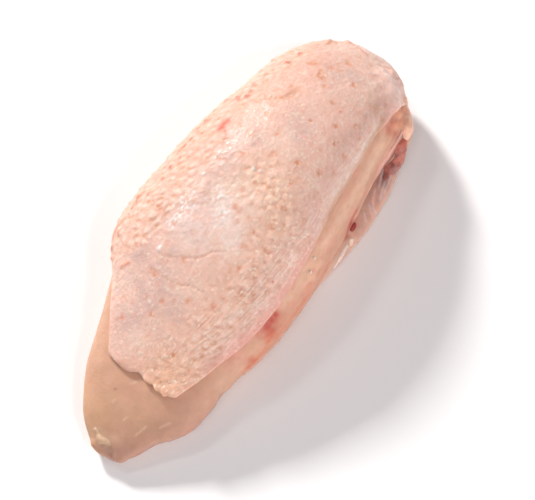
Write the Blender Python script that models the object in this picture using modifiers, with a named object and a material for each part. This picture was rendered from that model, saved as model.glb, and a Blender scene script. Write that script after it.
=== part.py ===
"""Raw chicken breast with its skin on, lying skin side up.

Three pieces: the main fillet, the inner fillet that lies under its keel side, and the skin
that is wrapped over the top, the outer side and the shoulder end.

Frame: metres, +Z up. +Y runs from the thin tail end to the thick shoulder end, +X is the
keel side and +Z the skin side. The meat rests on z = 0 and the origin is under its middle.

Every surface is a function of unit directions. A direction's Y part is the station along
the breast, from -1 at the tail end to 1 at the shoulder end. Its turn about Y picks the
point on that station's section, a superellipse about the waist.
"""
from math import pi, radians

import bmesh
import bpy
import numpy as np
from mathutils import Matrix

# Driving dimensions, in metres: the main fillet's length, and its middle's place, which
# centres the three pieces together on the origin
LENGTH = 0.177
MIDDLE_X = 0.0050
MIDDLE_Y = -0.0012

# Gap between touching pieces, wider under the skin, whose flat facets span the meat's curve
PIECE_GAP = 0.00035
SKIN_GAP = 0.0006

# Main fillet, as (station, metres). Its width and height are these times an end taper.
HALF_WIDTH = (
    (-1.0, 0.0100), (-0.93, 0.0148), (-0.85, 0.0190), (-0.74, 0.0235), (-0.62, 0.0253),
    (-0.5, 0.0268), (-0.4, 0.0295), (-0.2, 0.0345), (0.1, 0.0343), (0.3, 0.0339),
    (0.55, 0.0339), (0.75, 0.0374), (0.9, 0.0405), (1.0, 0.0440),
)
CENTRE_LINE = (
    (-1.0, 0.0000), (-0.93, -0.0009), (-0.85, -0.0011), (-0.74, -0.0009), (-0.62, -0.0016),
    (-0.5, -0.0029), (-0.4, -0.0030), (-0.2, -0.0053), (0.1, -0.0045), (0.3, -0.0039),
    (0.55, -0.0025), (0.75, -0.0016), (0.9, -0.0010), (1.0, 0.0000),
)
CREST_HEIGHT = (
    (-1.0, 0.0070), (-0.9, 0.0108), (-0.75, 0.0151), (-0.5, 0.0222), (-0.1, 0.0334),
    (0.3, 0.0408), (0.7, 0.0416), (1.0, 0.0368),
)
WAIST_HEIGHT = ((-1.0, 0.0045), (-0.5, 0.0080), (0.0, 0.0100), (0.5, 0.0110), (1.0, 0.0130))

# How far the crest lies towards the keel side, and how far the round underside would sink
# below the floor, so that it is flattened there
CREST_SHIFT = 0.003
UNDER_SINK = 0.0016

# Powers of the end tapers and of the sections: 2 is an ellipse, and more is squarer
TAIL_POWER = 4.0
SHOULDER_POWER = 2.1
KEEL_POWER = 2.3
OUTER_POWER = 2.15
UNDER_POWER = 2.6

# Lumps on the main fillet: (place in the wrap plane, radius as a share of a quarter turn,
# height). The wrap plane's unit is a quarter turn away from straight up.
SHOULDER_FAT = ((0.65, 0.72), 0.09, 0.0062)
TAIL_FAT = ((-0.42, -0.83), 0.07, 0.0012)
LUMPS = (SHOULDER_FAT, TAIL_FAT)

# Inner fillet, with its middle measured from the main fillet's
INNER_MIDDLE_Y = 0.0085
INNER_HALF_LENGTH = 0.064
INNER_HALF_WIDTH = 0.0155
INNER_TOP = 0.0125
INNER_WAIST = 0.0055
INNER_CENTRE_LINE = (
    (-1.0, 0.0022), (-0.5, 0.0080), (-0.16, 0.0128), (0.16, 0.0163), (0.55, 0.0191),
    (0.78, 0.0195), (1.0, 0.0195),
)
INNER_END_POWER = 2.3
INNER_SIDE_POWER = 2.3

# Skin: thickness, and the four borders of its sheet in the wrap plane, as (share of the
# border, across, along)
SKIN_THICKNESS = 0.0018
SKIN_TAIL_EDGE = (
    (0.0, -0.578, -0.572), (0.22, -0.434, -0.549), (0.42, -0.232, -0.497), (0.60, 0.014, -0.499),
    (0.80, 0.255, -0.523), (1.0, 0.440, -0.535),
)
SKIN_KEEL_EDGE = (
    (0.0, 0.440, -0.535), (0.10, 0.594, -0.415), (0.22, 0.678, -0.26), (0.34, 0.695, -0.118),
    (0.46, 0.633, 0.022), (0.58, 0.580, 0.151), (0.70, 0.531, 0.308), (0.80, 0.484, 0.453),
    (0.88, 0.471, 0.571), (0.94, 0.471, 0.694), (1.0, 0.49, 0.84),
)
SKIN_SHOULDER_EDGE = (
    (0.0, -0.76, 0.82), (0.25, -0.45, 1.04), (0.5, -0.10, 1.15), (0.75, 0.24, 1.06),
    (1.0, 0.49, 0.84),
)
SKIN_OUTER_EDGE = (
    (0.0, -0.578, -0.572), (0.10, -0.666, -0.473), (0.20, -0.779, -0.364), (0.32, -0.97, -0.20),
    (0.46, -1.07, 0.02), (0.64, -1.04, 0.30), (0.82, -0.92, 0.59), (1.0, -0.76, 0.82),
)

# Swells of the skin: height, and wavelengths across and along
SWELL_HEIGHT = 0.0002
SWELL_ACROSS = 0.021
SWELL_ALONG = 0.026

# Pleats at the tail edge's keel end: height, and as shares of the sheet's sides their
# wavelength, middle, half spread and how far they run in from the edge
PLEAT_HEIGHT = 0.0010
PLEAT_LENGTH = 0.075
PLEAT_MIDDLE = 0.82
PLEAT_SPREAD = 0.19
PLEAT_REACH = 0.06

# Mesh fineness
FILLET_SEGMENTS = 48
FILLET_RINGS = 38
INNER_SEGMENTS = 28
INNER_RINGS = 24
SKIN_CELLS_ACROSS = 40
SKIN_CELLS_ALONG = 42

# How close a station comes to an end, how far apart the points that give a normal are, and
# the least divisor
POLE_MARGIN = 1e-5
NORMAL_STEP = 1e-3
TINY = 1e-9

# Colours, as linear red, green, blue, and roughness
MEAT_COLOUR = (0.66, 0.40, 0.27, 1.0)
MEAT_ROUGHNESS = 0.35
INNER_COLOUR = (0.52, 0.29, 0.21, 1.0)
INNER_ROUGHNESS = 0.3
SKIN_COLOUR = (0.80, 0.52, 0.42, 1.0)
SKIN_ROUGHNESS = 0.4


def along(knots, place):
    """Smooth curve through knots of (place, value), read at an array of places."""
    at, value = np.array(knots, dtype=float).T
    slope = np.gradient(value, at)
    place = np.clip(place, at[0], at[-1])
    i = np.clip(np.searchsorted(at, place) - 1, 0, len(at) - 2)
    gap = at[i + 1] - at[i]
    t = (place - at[i]) / gap
    start = (2 * t**3 - 3 * t**2 + 1) * value[i] + (t**3 - 2 * t**2 + t) * gap * slope[i]
    end = (3 * t**2 - 2 * t**3) * value[i + 1] + (t**3 - t**2) * gap * slope[i + 1]
    return start + end


def end_taper(station):
    """Share of the full section left at a station: blunt at the tail, round at the shoulder."""
    power = np.where(station < 0, TAIL_POWER, SHOULDER_POWER)
    return (1 - np.abs(station) ** power) ** (1 / power)


def split_directions(directions):
    """Station, and the across and up parts of the turn about Y, of unit directions."""
    station = np.clip(directions[:, 1], POLE_MARGIN - 1, 1 - POLE_MARGIN)
    ring = np.sqrt(1 - station**2)
    return station, directions[:, 0] / ring, directions[:, 2] / ring


def on_section(across, up, side_reach, height_reach, power):
    """Point where a turn (across, up) meets a superellipse of the given reaches."""
    spread = (np.abs(across) / side_reach) ** power + (np.abs(up) / height_reach) ** power
    radius = spread ** (-1 / power)
    return radius * across, radius * up


def lump_height(directions, lump):
    """Height of one rounded lump on the fillet's surface."""
    place, radius, height = lump
    middle = unwrap(np.array([place]))[0]
    away = np.arccos(np.clip(directions @ middle, -1, 1)) / (pi / 2)
    return height * np.exp(-((away / radius) ** 2))


def plain_fillet_point(directions):
    """Points of the main fillet's surface without its lumps."""
    station, across, up = split_directions(directions)
    taper = end_taper(station)
    shift = CREST_SHIFT * taper
    half = along(HALF_WIDTH, station) * taper
    middle = MIDDLE_X + along(CENTRE_LINE, station) + shift
    waist = along(WAIST_HEIGHT, station)
    rise = (along(CREST_HEIGHT, station) - waist) * taper
    drop = (waist + UNDER_SINK) * taper
    side_reach = np.where(across > 0, half - shift, half + shift)
    height_reach = np.where(up > 0, rise, drop)
    top_power = np.where(across > 0, KEEL_POWER, OUTER_POWER)
    power = np.where(up > 0, top_power, UNDER_POWER)
    x, z = on_section(across, up, side_reach, height_reach, power)
    y = MIDDLE_Y + LENGTH / 2 * station
    return np.stack([middle + x, y, np.maximum(waist + z, 0)], axis=-1)


def surface_normal(directions, surface):
    """Outward unit normals of a surface given as a function of unit directions."""
    sideways = np.cross(directions, (0.0, 1.0, 0.0))
    sideways /= np.linalg.norm(sideways, axis=1, keepdims=True) + TINY
    forward = np.cross(directions, sideways)
    tangents = []
    for step in (sideways, forward):
        ahead = directions + NORMAL_STEP * step
        behind = directions - NORMAL_STEP * step
        ahead /= np.linalg.norm(ahead, axis=1, keepdims=True)
        behind /= np.linalg.norm(behind, axis=1, keepdims=True)
        tangents.append(surface(ahead) - surface(behind))
    normal = np.cross(*tangents)
    normal *= np.sign(np.sum(normal * directions, axis=1, keepdims=True))
    return normal / (np.linalg.norm(normal, axis=1, keepdims=True) + TINY)


def fillet_point(directions):
    """Points of the main fillet's surface, its flat underside at z = 0."""
    points = plain_fillet_point(directions)
    height = sum(lump_height(directions, lump) for lump in LUMPS)
    points += surface_normal(directions, plain_fillet_point) * height[:, None]
    points[:, 2] = np.maximum(points[:, 2], 0)
    return points


def inner_fillet_point(directions, growth=0.0, floor=0.0):
    """Points of the inner fillet, a spindle flattened where it lies."""
    station, across, up = split_directions(directions)
    taper = (1 - np.abs(station) ** INNER_END_POWER) ** (1 / INNER_END_POWER)
    half = INNER_HALF_WIDTH * taper + growth
    rise = (INNER_TOP - INNER_WAIST) * taper + growth
    drop = (INNER_WAIST + UNDER_SINK) * taper + growth
    height_reach = np.where(up > 0, rise, drop)
    x, z = on_section(across, up, half, height_reach, INNER_SIDE_POWER)
    y = MIDDLE_Y + INNER_MIDDLE_Y + (INNER_HALF_LENGTH + growth) * station
    middle = MIDDLE_X + along(INNER_CENTRE_LINE, station)
    return np.stack([middle + x, y, np.maximum(INNER_WAIST + z, floor)], axis=-1)


def inner_fillet_bed(directions):
    """The inner fillet grown by the gap between pieces, cut out of the main fillet."""
    return inner_fillet_point(directions, growth=PIECE_GAP, floor=-1.0)


def unwrap(plane_points):
    """Unit directions of points (across, along) in the wrap plane."""
    reach = np.linalg.norm(plane_points, axis=1) + TINY
    turn = reach * pi / 2
    level = np.sin(turn) / reach
    return np.stack([level * plane_points[:, 0], level * plane_points[:, 1], np.cos(turn)], axis=-1)


def border(knots, share):
    """Points of one border of the skin, at an array of shares of its length."""
    across = along([(at, x) for at, x, _ in knots], share)
    forward = along([(at, y) for at, _, y in knots], share)
    return np.stack([across, forward], axis=-1)


def skin_plane(u, v):
    """Wrap plane points of the skin's sheet, blended between its four borders."""
    tail = border(SKIN_TAIL_EDGE, u)
    shoulder = border(SKIN_SHOULDER_EDGE, u)
    outer = border(SKIN_OUTER_EDGE, v)
    keel = border(SKIN_KEEL_EDGE, v)
    u = u[:, None]
    v = v[:, None]
    corners = (1 - v) * ((1 - u) * border(SKIN_TAIL_EDGE, 0) + u * border(SKIN_TAIL_EDGE, 1))
    corners += v * ((1 - u) * border(SKIN_SHOULDER_EDGE, 0) + u * border(SKIN_SHOULDER_EDGE, 1))
    return (1 - v) * tail + v * shoulder + (1 - u) * outer + u * keel - corners


def skin_relief(u, v, points):
    """Height of the skin's inner face over the meat: gentle swells, and pleats at the tail."""
    swell = np.sin(2 * pi * points[:, 0] / SWELL_ACROSS)
    swell *= np.cos(2 * pi * points[:, 1] / SWELL_ALONG)
    off_middle = u - PLEAT_MIDDLE
    pleat = np.cos(2 * pi * off_middle / PLEAT_LENGTH)
    near = np.exp(-v / PLEAT_REACH) * np.exp(-((off_middle / PLEAT_SPREAD) ** 2))
    return SKIN_GAP + SWELL_HEIGHT * (1 + swell) + PLEAT_HEIGHT * near * (1 + pleat) / 2


def skin_point(u, v):
    """Points of the skin's inner face."""
    directions = unwrap(skin_plane(u, v))
    points = fillet_point(directions)
    height = skin_relief(u, v, points)
    return points + surface_normal(directions, plain_fillet_point) * height[:, None]


def make_material(name, colour, roughness):
    material = bpy.data.materials.new(name)
    material.use_nodes = True
    shader = material.node_tree.nodes["Principled BSDF"]
    shader.inputs["Base Color"].default_value = colour
    shader.inputs["Roughness"].default_value = roughness
    shader.inputs["Metallic"].default_value = 0.0
    return material


def add_object(name, bm, collection):
    mesh = bpy.data.meshes.new(name)
    bm.to_mesh(mesh)
    bm.free()
    mesh.shade_smooth()
    thing = bpy.data.objects.new(name, mesh)
    collection.objects.link(thing)
    return thing


def moulded_sphere(name, segments, rings, surface, collection):
    """A sphere with its poles on Y, each vertex moved to its direction's point of a surface."""
    bm = bmesh.new()
    bmesh.ops.create_uvsphere(
        bm, u_segments=segments, v_segments=rings, radius=1.0,
        matrix=Matrix.Rotation(radians(-90), 4, "X"),
    )
    directions = np.array([vert.co[:] for vert in bm.verts])
    directions /= np.linalg.norm(directions, axis=1, keepdims=True)
    for vert, point in zip(bm.verts, surface(directions)):
        vert.co = point
    return add_object(name, bm, collection)


def make_fillet(parts, cutters):
    fillet = moulded_sphere("breast_fillet", FILLET_SEGMENTS, FILLET_RINGS, fillet_point, parts)
    bed = moulded_sphere("inner_bed", INNER_SEGMENTS, INNER_RINGS, inner_fillet_bed, cutters)
    bed.hide_render = True
    bed.display_type = "WIRE"
    cut = fillet.modifiers.new("Inner fillet bed", "BOOLEAN")
    cut.operation = "DIFFERENCE"
    cut.solver = "EXACT"
    cut.object = bed
    fillet.data.materials.append(make_material("meat", MEAT_COLOUR, MEAT_ROUGHNESS))


def make_inner_fillet(parts):
    inner = moulded_sphere("inner_fillet", INNER_SEGMENTS, INNER_RINGS, inner_fillet_point, parts)
    inner.data.materials.append(make_material("inner_meat", INNER_COLOUR, INNER_ROUGHNESS))


def make_skin(parts):
    bm = bmesh.new()
    bmesh.ops.create_grid(
        bm, x_segments=SKIN_CELLS_ACROSS, y_segments=SKIN_CELLS_ALONG, size=0.5)
    flat = np.array([vert.co[:] for vert in bm.verts])
    for vert, point in zip(bm.verts, skin_point(flat[:, 0] + 0.5, flat[:, 1] + 0.5)):
        vert.co = point
    skin = add_object("skin", bm, parts)
    shell = skin.modifiers.new("Thickness", "SOLIDIFY")
    shell.thickness = SKIN_THICKNESS
    shell.offset = 1.0
    skin.data.materials.append(make_material("skin", SKIN_COLOUR, SKIN_ROUGHNESS))


def add_collection(name):
    collection = bpy.data.collections.new(name)
    bpy.context.scene.collection.children.link(collection)
    return collection


def main():
    for thing in list(bpy.data.objects):
        bpy.data.objects.remove(thing, do_unlink=True)
    parts = add_collection("chicken_breast")
    cutters = add_collection("cutters")
    make_fillet(parts, cutters)
    make_inner_fillet(parts)
    make_skin(parts)


main()
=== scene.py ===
"""The looks of a raw chicken breast with its skin on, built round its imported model.

Frame: metres, +Z up. +Y runs from the thin tail end to the thick shoulder end, +X is the
keel side and +Z the skin side. The forms are the same functions of unit directions as the
solids have, read finely enough to carry follicles, wrinkles, lobes, membranes and fat.
"""
from itertools import product
from math import cos, pi, radians, sin

import bmesh
import bpy
import numpy as np
from mathutils import Matrix, Vector
from mathutils.bvhtree import BVHTree
from mathutils.kdtree import KDTree


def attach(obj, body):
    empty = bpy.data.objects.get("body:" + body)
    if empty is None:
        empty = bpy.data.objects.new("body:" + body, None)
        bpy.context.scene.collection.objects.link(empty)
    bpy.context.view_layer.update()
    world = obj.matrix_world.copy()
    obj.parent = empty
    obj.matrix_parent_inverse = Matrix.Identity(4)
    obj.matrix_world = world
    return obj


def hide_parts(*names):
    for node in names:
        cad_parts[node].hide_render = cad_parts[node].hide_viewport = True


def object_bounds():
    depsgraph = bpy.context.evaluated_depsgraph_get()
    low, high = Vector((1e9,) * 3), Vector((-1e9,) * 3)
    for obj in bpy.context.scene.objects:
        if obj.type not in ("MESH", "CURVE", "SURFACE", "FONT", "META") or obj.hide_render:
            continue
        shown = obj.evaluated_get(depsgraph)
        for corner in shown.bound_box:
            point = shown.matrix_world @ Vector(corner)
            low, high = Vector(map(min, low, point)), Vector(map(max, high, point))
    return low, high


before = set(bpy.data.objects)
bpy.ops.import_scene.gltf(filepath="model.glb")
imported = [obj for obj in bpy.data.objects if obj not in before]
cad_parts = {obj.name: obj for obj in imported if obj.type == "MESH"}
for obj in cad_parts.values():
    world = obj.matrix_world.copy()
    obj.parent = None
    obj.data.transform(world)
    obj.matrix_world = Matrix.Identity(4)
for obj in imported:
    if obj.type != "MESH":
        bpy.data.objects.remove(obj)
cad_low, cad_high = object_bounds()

MM = 0.001

# Camera, from the photograph: its angle, and the point that it shows at a known pixel
PHOTO_WIDTH = 535
PHOTO_HEIGHT = 500
VIEW_AZIMUTH = radians(32)
VIEW_ELEVATION = radians(65)
TARGET = Vector((0.0051, -0.0027, 0.012))
TARGET_PIXEL = (241, 248)
PIXELS_PER_METRE = 2856
LENS = 120
SENSOR = 36

# Form of the main fillet, as (station, metres)
LENGTH = 0.177
MIDDLE_X = 0.0050
MIDDLE_Y = -0.0012
PIECE_GAP = 0.00035
SKIN_GAP = 0.0006
HALF_WIDTH = (
    (-1.0, 0.01), (-0.93, 0.0148), (-0.85, 0.019), (-0.74, 0.0235), (-0.62, 0.0253), (-0.5, 0.0268),
    (-0.4, 0.0295), (-0.2, 0.0345), (0.1, 0.0343), (0.3, 0.0339), (0.55, 0.0339), (0.75, 0.0374),
    (0.9, 0.0405), (1.0, 0.044),
)
CENTRE_LINE = (
    (-1.0, 0.0), (-0.93, -0.0009), (-0.85, -0.0011), (-0.74, -0.0009), (-0.62, -0.0016), (-0.5, -0.0029),
    (-0.4, -0.003), (-0.2, -0.0053), (0.1, -0.0045), (0.3, -0.0039), (0.55, -0.0025), (0.75, -0.0016),
    (0.9, -0.001), (1.0, 0.0),
)
CREST_HEIGHT = (
    (-1.0, 0.007), (-0.9, 0.0108), (-0.75, 0.0151), (-0.5, 0.0222), (-0.1, 0.0334), (0.3, 0.0408),
    (0.7, 0.0416), (1.0, 0.0368),
)
WAIST_HEIGHT = ((-1.0, 0.0045), (-0.5, 0.0080), (0.0, 0.0100), (0.5, 0.0110), (1.0, 0.0130))
CREST_SHIFT = 0.003
UNDER_SINK = 0.0016
TAIL_POWER = 4.0
SHOULDER_POWER = 2.1
KEEL_POWER = 2.3
OUTER_POWER = 2.15
UNDER_POWER = 2.6

# Lumps on the main fillet: place and radius in the wrap plane, and height in metres
LUMPS = (((0.65, 0.72), 0.09, 0.0062), ((-0.42, -0.83), 0.07, 0.0012))

# Form of the inner fillet
INNER_MIDDLE_Y = 0.0085
INNER_HALF_LENGTH = 0.064
INNER_HALF_WIDTH = 0.0155
INNER_TOP = 0.0125
INNER_WAIST = 0.0055
INNER_CENTRE_LINE = (
    (-1.0, 0.0022), (-0.5, 0.008), (-0.16, 0.0128), (0.16, 0.0163), (0.55, 0.0191), (0.78, 0.0195),
    (1.0, 0.0195),
)
INNER_END_POWER = 2.3
INNER_SIDE_POWER = 2.3

# Form of the skin: its thickness, and its borders in the wrap plane
SKIN_THICKNESS = 0.0018
SKIN_TAIL_EDGE = (
    (0.0, -0.578, -0.572), (0.22, -0.434, -0.549), (0.42, -0.232, -0.497), (0.6, 0.014, -0.499),
    (0.8, 0.255, -0.523), (1.0, 0.44, -0.535),
)
SKIN_KEEL_EDGE = (
    (0.0, 0.44, -0.535), (0.1, 0.594, -0.415), (0.22, 0.678, -0.26), (0.34, 0.695, -0.118),
    (0.46, 0.633, 0.022), (0.58, 0.58, 0.151), (0.7, 0.531, 0.308), (0.8, 0.484, 0.453),
    (0.88, 0.471, 0.571), (0.94, 0.471, 0.694), (1.0, 0.49, 0.84),
)
SKIN_SHOULDER_EDGE = (
    (0.0, -0.76, 0.82), (0.25, -0.45, 1.04), (0.5, -0.1, 1.15), (0.75, 0.24, 1.06), (1.0, 0.49, 0.84),
)
SKIN_OUTER_EDGE = (
    (0.0, -0.578, -0.572), (0.1, -0.666, -0.473), (0.2, -0.779, -0.364), (0.32, -0.97, -0.2),
    (0.46, -1.07, 0.02), (0.64, -1.04, 0.3), (0.82, -0.92, 0.59), (1.0, -0.76, 0.82),
)
SWELL_HEIGHT = 0.0002
SWELL_ACROSS = 0.021
SWELL_ALONG = 0.026
POLE_MARGIN = 1e-5
NORMAL_STEP = 1e-3
TINY = 1e-9

# Cells of the skin's outer face, how many of them one of its inner face takes up along each
# side, and how far every piece stays inside the solids' box
SKIN_ACROSS = 232
SKIN_ALONG = 376
INNER_FACE_STEP = 8
BOX_MARGIN = 0.00005


# ---------------- forms

def along(knots, place):
    """Smooth curve through knots of (place, value), read at an array of places."""
    at, value = np.array(knots, dtype=float).T
    slope = np.gradient(value, at)
    place = np.clip(place, at[0], at[-1])
    i = np.clip(np.searchsorted(at, place) - 1, 0, len(at) - 2)
    gap = at[i + 1] - at[i]
    t = (place - at[i]) / gap
    start = (2 * t**3 - 3 * t**2 + 1) * value[i] + (t**3 - 2 * t**2 + t) * gap * slope[i]
    end = (3 * t**2 - 2 * t**3) * value[i + 1] + (t**3 - t**2) * gap * slope[i + 1]
    return start + end


def unit(vectors):
    return vectors / (np.linalg.norm(vectors, axis=1, keepdims=True) + TINY)


def end_taper(station):
    """Share of the full section left at a station: blunt at the tail, round at the shoulder."""
    power = np.where(station < 0, TAIL_POWER, SHOULDER_POWER)
    return (1 - np.abs(station) ** power) ** (1 / power)


def split_directions(directions):
    """Station, and the across and up parts of the turn about Y, of unit directions."""
    station = np.clip(directions[:, 1], POLE_MARGIN - 1, 1 - POLE_MARGIN)
    ring = np.sqrt(1 - station**2)
    return station, directions[:, 0] / ring, directions[:, 2] / ring


def on_section(across, up, side_reach, height_reach, power):
    """Point where a turn (across, up) meets a superellipse of the given reaches."""
    spread = (np.abs(across) / side_reach) ** power + (np.abs(up) / height_reach) ** power
    radius = spread ** (-1 / power)
    return radius * across, radius * up


def lump_height(directions, lump):
    """Height of one rounded lump on the fillet's surface."""
    place, radius, height = lump
    middle = unwrap(np.array([place]))[0]
    away = np.arccos(np.clip(directions @ middle, -1, 1)) / (pi / 2)
    return height * np.exp(-((away / radius) ** 2))


def plain_fillet_point(directions):
    """Points of the main fillet's surface without its lumps."""
    station, across, up = split_directions(directions)
    taper = end_taper(station)
    shift = CREST_SHIFT * taper
    half = along(HALF_WIDTH, station) * taper
    middle = MIDDLE_X + along(CENTRE_LINE, station) + shift
    waist = along(WAIST_HEIGHT, station)
    rise = (along(CREST_HEIGHT, station) - waist) * taper
    drop = (waist + UNDER_SINK) * taper
    side_reach = np.where(across > 0, half - shift, half + shift)
    height_reach = np.where(up > 0, rise, drop)
    top_power = np.where(across > 0, KEEL_POWER, OUTER_POWER)
    power = np.where(up > 0, top_power, UNDER_POWER)
    x, z = on_section(across, up, side_reach, height_reach, power)
    y = MIDDLE_Y + LENGTH / 2 * station
    return np.stack([middle + x, y, np.maximum(waist + z, 0)], axis=-1)


def surface_normal(directions, surface):
    """Outward unit normals of a surface given as a function of unit directions."""
    sideways = unit(np.cross(directions, (0.0, 1.0, 0.0)))
    tangents = []
    for way in (sideways, np.cross(directions, sideways)):
        step = NORMAL_STEP * way
        tangents.append(surface(unit(directions + step)) - surface(unit(directions - step)))
    normal = np.cross(*tangents)
    return unit(normal * np.sign(np.sum(normal * directions, axis=1, keepdims=True)))


def fillet_point(directions):
    """Points of the main fillet's surface, its flat underside at z = 0."""
    points = plain_fillet_point(directions)
    height = sum(lump_height(directions, lump) for lump in LUMPS)
    points += surface_normal(directions, plain_fillet_point) * height[:, None]
    points[:, 2] = np.maximum(points[:, 2], 0)
    return points


def inner_fillet_point(directions, growth=0.0, floor=0.0):
    """Points of the inner fillet, a spindle flattened where it lies."""
    station, across, up = split_directions(directions)
    taper = (1 - np.abs(station) ** INNER_END_POWER) ** (1 / INNER_END_POWER)
    half = INNER_HALF_WIDTH * taper + growth
    rise = (INNER_TOP - INNER_WAIST) * taper + growth
    drop = (INNER_WAIST + UNDER_SINK) * taper + growth
    height_reach = np.where(up > 0, rise, drop)
    x, z = on_section(across, up, half, height_reach, INNER_SIDE_POWER)
    y = MIDDLE_Y + INNER_MIDDLE_Y + (INNER_HALF_LENGTH + growth) * station
    middle = MIDDLE_X + along(INNER_CENTRE_LINE, station)
    return np.stack([middle + x, y, np.maximum(INNER_WAIST + z, floor)], axis=-1)


def inner_fillet_bed(directions):
    """The inner fillet grown by the gap between pieces, cut out of the main fillet."""
    return inner_fillet_point(directions, growth=PIECE_GAP, floor=-1.0)


def unwrap(plane_points):
    """Unit directions of points (across, along) in the wrap plane."""
    reach = np.linalg.norm(plane_points, axis=1) + TINY
    turn = reach * pi / 2
    level = np.sin(turn) / reach
    return np.stack([level * plane_points[:, 0], level * plane_points[:, 1], np.cos(turn)], axis=-1)


def border(knots, share):
    """Points of one border of the skin, at an array of shares of its length."""
    across = along([(at, x) for at, x, _ in knots], share)
    forward = along([(at, y) for at, _, y in knots], share)
    return np.stack([across, forward], axis=-1)


def skin_plane(u, v):
    """Wrap plane points of the skin's sheet, blended between its four borders."""
    tail = border(SKIN_TAIL_EDGE, u)
    shoulder = border(SKIN_SHOULDER_EDGE, u)
    outer = border(SKIN_OUTER_EDGE, v)
    keel = border(SKIN_KEEL_EDGE, v)
    u = u[:, None]
    v = v[:, None]
    corners = (1 - v) * ((1 - u) * border(SKIN_TAIL_EDGE, 0) + u * border(SKIN_TAIL_EDGE, 1))
    corners += v * ((1 - u) * border(SKIN_SHOULDER_EDGE, 0) + u * border(SKIN_SHOULDER_EDGE, 1))
    return (1 - v) * tail + v * shoulder + (1 - u) * outer + u * keel - corners


# ---------------- numbers

# How many cells the noise repeats after, and what brings it to about -1 to 1
NOISE_CELLS = 256
NOISE_GAIN = 1.6


def noise(points, wavelength, seed):
    """Smooth noise of about -1 to 1 at an array of points, from slopes on a grid."""
    draw = np.random.default_rng(seed)
    order = draw.permutation(NOISE_CELLS)
    slopes = unit(draw.normal(size=(NOISE_CELLS, 3)))
    cell = points / wavelength
    base = np.floor(cell).astype(int)
    inside = cell - base
    fade = inside**3 * (inside * (inside * 6 - 15) + 10)
    total = np.zeros(len(points))
    for corner in product((0, 1), repeat=3):
        x, y, z = (base + corner).T
        which = order[(order[(order[x % NOISE_CELLS] + y) % NOISE_CELLS] + z) % NOISE_CELLS]
        reach = np.sum(slopes[which] * (inside - corner), axis=1)
        total += np.prod(np.where(corner, fade, 1 - fade), axis=1) * reach
    return total * NOISE_GAIN


def rough_noise(points, wavelength, seed):
    """Noise with finer and weaker noise added to it."""
    return sum(noise(points, wavelength / 2**n, seed + n) / 2**n for n in range(3)) / 1.5


def ramp(value, low, high):
    """Smooth step from 0 at low to 1 at high."""
    t = np.clip((value - low) / (high - low), 0, 1)
    return t * t * (3 - 2 * t)


def bell(distance, radius):
    return np.exp(-((distance / radius) ** 2))


def srgb(red, green, blue):
    """Linear colour of a screen colour given as 0 to 255."""
    c = np.array((red, green, blue)) / 255
    return np.where(c <= 0.04045, c / 12.92, ((c + 0.055) / 1.055) ** 2.4)


def mix(colours, other, share):
    """Mixes a colour, or an array of them, into an array of colours by a share for each."""
    share = np.clip(share, 0, 1)[:, None]
    return colours * (1 - share) + np.array(other) * share


# ---------------- camera and picking

# Distances from the camera, in metres, that are tried along a ray which misses a surface
RAY_REACH = (0.5, 0.75)
RAY_STEPS = 120
CLIP_RANGE = (0.01, 20)


def camera_axes():
    """Where the camera is, and its right, up and ahead once it faces the photo's middle."""
    right = Vector((cos(VIEW_AZIMUTH), sin(VIEW_AZIMUTH), 0))
    level = cos(VIEW_ELEVATION)
    back = Vector((sin(VIEW_AZIMUTH) * level, -cos(VIEW_AZIMUTH) * level, sin(VIEW_ELEVATION)))
    up = back.cross(right)
    distance = PHOTO_WIDTH / PIXELS_PER_METRE * LENS / SENSOR
    place = TARGET + back * distance
    across = (PHOTO_WIDTH / 2 - TARGET_PIXEL[0]) / PIXELS_PER_METRE
    down = (PHOTO_HEIGHT / 2 - TARGET_PIXEL[1]) / PIXELS_PER_METRE
    ahead = (TARGET + right * across - up * down - place).normalized()
    right = ahead.cross(up).normalized()
    return place, right, right.cross(ahead), ahead


def pixel_ray(x, y):
    """The way from the camera through a pixel of the photograph."""
    _, right, up, ahead = camera_axes()
    wide = SENSOR / LENS / PHOTO_WIDTH
    way = ahead + right * (x - PHOTO_WIDTH / 2) * wide + up * (PHOTO_HEIGHT / 2 - y) * wide
    return way.normalized()


def add_object(name, data):
    thing = bpy.data.objects.new(name, data)
    bpy.context.scene.collection.objects.link(thing)
    return thing


def make_camera():
    place, right, up, ahead = camera_axes()
    data = bpy.data.cameras.new("camera")
    data.lens = LENS
    data.sensor_width = SENSOR
    data.clip_start, data.clip_end = CLIP_RANGE
    camera = add_object("camera", data)
    turn = Matrix((right, up, -ahead)).transposed().to_4x4()
    camera.matrix_world = Matrix.Translation(place) @ turn
    bpy.context.scene.camera = camera


class Ground:
    """A surface that pixels of the photograph are found on."""

    def __init__(self, points, faces):
        self.tree = BVHTree.FromPolygons([tuple(p) for p in points], faces)
        self.place = camera_axes()[0]

    def hit(self, x, y):
        """Point and normal that show at a pixel, or the nearest ones to its ray."""
        way = pixel_ray(x, y)
        point, normal, _, _ = self.tree.ray_cast(self.place, way)
        if point is None:
            steps = np.linspace(*RAY_REACH, RAY_STEPS)
            tries = [self.tree.find_nearest(self.place + way * step) for step in steps]
            point, normal, _, _ = min(tries, key=lambda found: found[3])
        return np.array(point), np.array(normal)

    def below(self, x, y, depth):
        """Point in metres at a depth under the surface that shows at a pixel."""
        point, normal = self.hit(x, y)
        return point - normal * depth

    def at(self, x, y):
        """Point in millimetres that shows at a pixel."""
        return self.hit(x, y)[0] / MM

    def path(self, pixels):
        return np.array([self.at(x, y) for x, y in pixels])


def near_path(points, path):
    """Distance from each point to a broken line."""
    best = np.full(len(points), np.inf)
    for a, b in zip(path[:-1], path[1:]):
        run = b - a
        t = np.clip((points - a) @ run / (run @ run), 0, 1)
        best = np.minimum(best, np.linalg.norm(points - a - t[:, None] * run, axis=1))
    return best


# ---------------- meshes

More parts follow.
